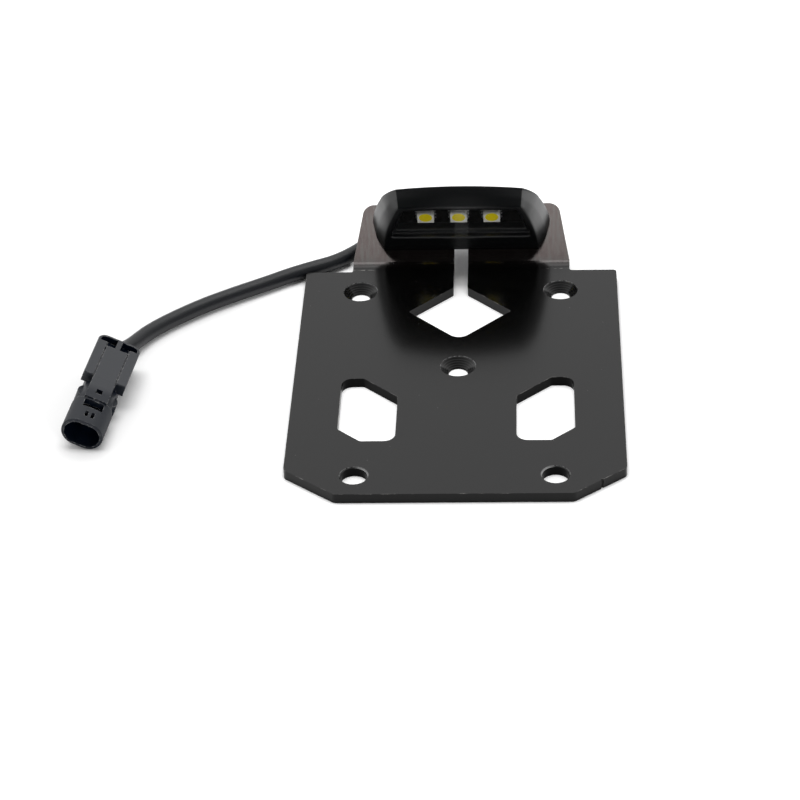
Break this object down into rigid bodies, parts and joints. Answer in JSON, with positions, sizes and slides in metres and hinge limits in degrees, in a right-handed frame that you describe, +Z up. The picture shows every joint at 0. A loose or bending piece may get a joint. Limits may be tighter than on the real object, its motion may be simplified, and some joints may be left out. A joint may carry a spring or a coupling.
{
  "type": "tail tidy",
  "caption": "Black anodised tail tidy plate with an upturned tab, a half-moon number plate light on the tab, and a short cable ending in a two-way sealed plug.",
  "frame": {"origin": "midway between the two upper arm screw holes, on the plate's underside", "axes": "+X across the plate, to the right as seen with the light at the far end; +Y along the plate towards the tab and light; +Z up, out of the face that the light stands over"},
  "size_m": [0.157, 0.1426, 0.0337],
  "materials": {
    "plate_black": "satin black anodised",
    "light_black": "satin black",
    "lens_clear": "clear gloss",
    "board_black": "black solder mask",
    "component_black": "moulded",
    "led_white": "white moulded",
    "led_phosphor": "yellow gel",
    "contact_tin": "tin plated",
    "core_red": "insulated wire",
    "rubber_black": "matt",
    "screw_steel": "bright",
    "cable_black": "satin sleeve",
    "plug_black": "fine moulded grain",
    "seal_green": "matt"
  },
  "bodies": {
    "root": {"board_diode": "component_black", "board_resistor_left": "component_black", "board_resistor_right": "component_black", "cable": "cable_black", "cable_grommet": "rubber_black", "connector_housing": "plug_black", "connector_seal": "seal_green", "lead_wires": "core_red", "led_board": "board_black", "led_body_centre": "led_white", "led_body_left": "led_white", "led_body_right": "led_white", "led_leads_centre": "contact_tin", "led_leads_left": "contact_tin", "led_leads_right": "contact_tin", "led_phosphor_centre": "led_phosphor", "led_phosphor_left": "led_phosphor", "led_phosphor_right": "led_phosphor", "light_housing": "light_black", "light_lens": "lens_clear", "light_screw_washers": "screw_steel", "light_screws": "screw_steel", "mounting_plate": "plate_black", "terminal_left": "contact_tin", "terminal_right": "contact_tin"}
  },
  "joints": []
}
